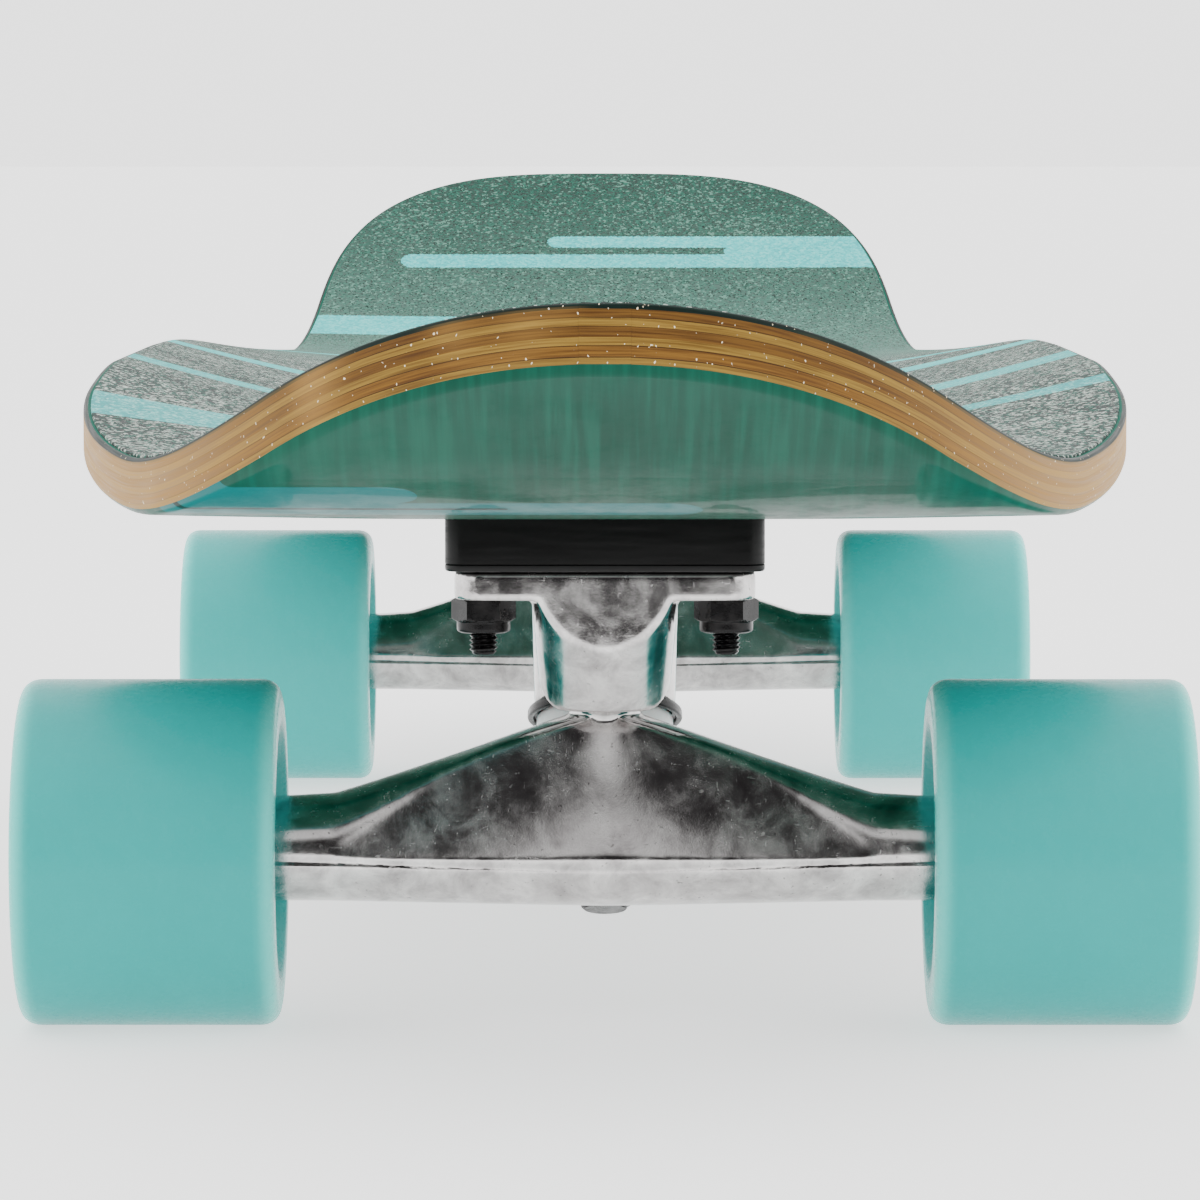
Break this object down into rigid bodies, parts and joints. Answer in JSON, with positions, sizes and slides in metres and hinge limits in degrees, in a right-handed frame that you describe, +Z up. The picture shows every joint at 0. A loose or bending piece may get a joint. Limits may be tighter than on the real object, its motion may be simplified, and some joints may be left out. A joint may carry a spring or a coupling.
{
  "type": "skateboard",
  "caption": "Mini cruiser skateboard: plywood deck with raised rails, upturned nose and kicktail, on two steering cast trucks with wide soft wheels.",
  "frame": {"origin": "on the ground under the middle of the deck's length and width", "axes": "+Z up, +Y towards the tail, +X to the rider's left when facing the nose"},
  "size_m": [0.203, 0.738, 0.1455],
  "materials": {
    "plywood": "clear lacquered maple edge, green gloss lacquer underneath",
    "grip": "green sanded grit with light specks and turquoise stripes",
    "riser_plastic": "satin black",
    "cast_aluminium": "tumble polished casting with fine scratches",
    "black_steel": "black oxide, slightly oily",
    "plain_steel": "zinc plated",
    "white_urethane": "cast white urethane",
    "turquoise_urethane": "cast turquoise urethane, satin",
    "bearing_steel": "ground steel",
    "cup_plastic": "moulded nylon"
  },
  "bodies": {
    "board": {"deck": "plywood", "grip_sheet": "grip", "front_riser": "riser_plastic", "front_baseplate": "cast_aluminium", "front_pivot_cup": "cup_plastic", "front_kingpin": "black_steel", "front_kingpin_nut": "black_steel", "front_boardside_bushing": "white_urethane", "front_roadside_bushing": "white_urethane", "front_boardside_washer": "black_steel", "front_roadside_washer": "black_steel", "front_bolt_outer_left": "black_steel", "front_lock_nut_outer_left": "black_steel", "front_bolt_outer_right": "black_steel", "front_lock_nut_outer_right": "black_steel", "front_bolt_inner_left": "black_steel", "front_lock_nut_inner_left": "black_steel", "front_bolt_inner_right": "black_steel", "front_lock_nut_inner_right": "black_steel", "rear_riser": "riser_plastic", "rear_baseplate": "cast_aluminium", "rear_pivot_cup": "cup_plastic", "rear_kingpin": "black_steel", "rear_kingpin_nut": "black_steel", "rear_boardside_bushing": "white_urethane", "rear_roadside_bushing": "white_urethane", "rear_boardside_washer": "black_steel", "rear_roadside_washer": "black_steel", "rear_bolt_outer_left": "black_steel", "rear_lock_nut_outer_left": "black_steel", "rear_bolt_outer_right": "black_steel", "rear_lock_nut_outer_right": "black_steel", "rear_bolt_inner_left": "black_steel", "rear_lock_nut_inner_left": "black_steel", "rear_bolt_inner_right": "black_steel", "rear_lock_nut_inner_right": "black_steel"},
    "front_hanger_body": {"front_hanger": "cast_aluminium", "front_axle": "plain_steel", "front_axle_nut_left": "black_steel", "front_axle_nut_right": "black_steel", "front_race_stack_left": "bearing_steel", "front_race_stack_right": "bearing_steel"},
    "front_wheel_left_body": {"front_wheel_left": "turquoise_urethane", "front_inner_bearing_left": "bearing_steel", "front_outer_bearing_left": "bearing_steel"},
    "front_wheel_right_body": {"front_wheel_right": "turquoise_urethane", "front_inner_bearing_right": "bearing_steel", "front_outer_bearing_right": "bearing_steel"},
    "rear_hanger_body": {"rear_hanger": "cast_aluminium", "rear_axle": "plain_steel", "rear_axle_nut_left": "black_steel", "rear_axle_nut_right": "black_steel", "rear_race_stack_left": "bearing_steel", "rear_race_stack_right": "bearing_steel"},
    "rear_wheel_left_body": {"rear_wheel_left": "turquoise_urethane", "rear_inner_bearing_left": "bearing_steel", "rear_outer_bearing_left": "bearing_steel"},
    "rear_wheel_right_body": {"rear_wheel_right": "turquoise_urethane", "rear_inner_bearing_right": "bearing_steel", "rear_outer_bearing_right": "bearing_steel"}
  },
  "joints": [
    {"name": "front_steering", "type": "hinge", "parent": "board", "child": "front_hanger_body", "pos_m": [0, -0.215, 0.0378], "axis": [0, -0.8192, 0.5736], "range_deg": [-15, 15], "stiffness_Nm_per_rad": 40, "deforming": ["front_boardside_bushing", "front_roadside_bushing"]},
    {"name": "front_left_spin", "type": "hinge", "parent": "front_hanger_body", "child": "front_wheel_left_body", "pos_m": [0.0786, -0.239, 0.03], "axis": [1, 0, 0], "continuous": true},
    {"name": "front_right_spin", "type": "hinge", "parent": "front_hanger_body", "child": "front_wheel_right_body", "pos_m": [-0.0786, -0.239, 0.03], "axis": [1, 0, 0], "continuous": true},
    {"name": "rear_steering", "type": "hinge", "parent": "board", "child": "rear_hanger_body", "pos_m": [0, 0.177, 0.0378], "axis": [0, 0.8192, 0.5736], "range_deg": [-15, 15], "stiffness_Nm_per_rad": 40, "deforming": ["rear_boardside_bushing", "rear_roadside_bushing"]},
    {"name": "rear_left_spin", "type": "hinge", "parent": "rear_hanger_body", "child": "rear_wheel_left_body", "pos_m": [0.0786, 0.201, 0.03], "axis": [1, 0, 0], "continuous": true},
    {"name": "rear_right_spin", "type": "hinge", "parent": "rear_hanger_body", "child": "rear_wheel_right_body", "pos_m": [-0.0786, 0.201, 0.03], "axis": [1, 0, 0], "continuous": true}
  ]
}
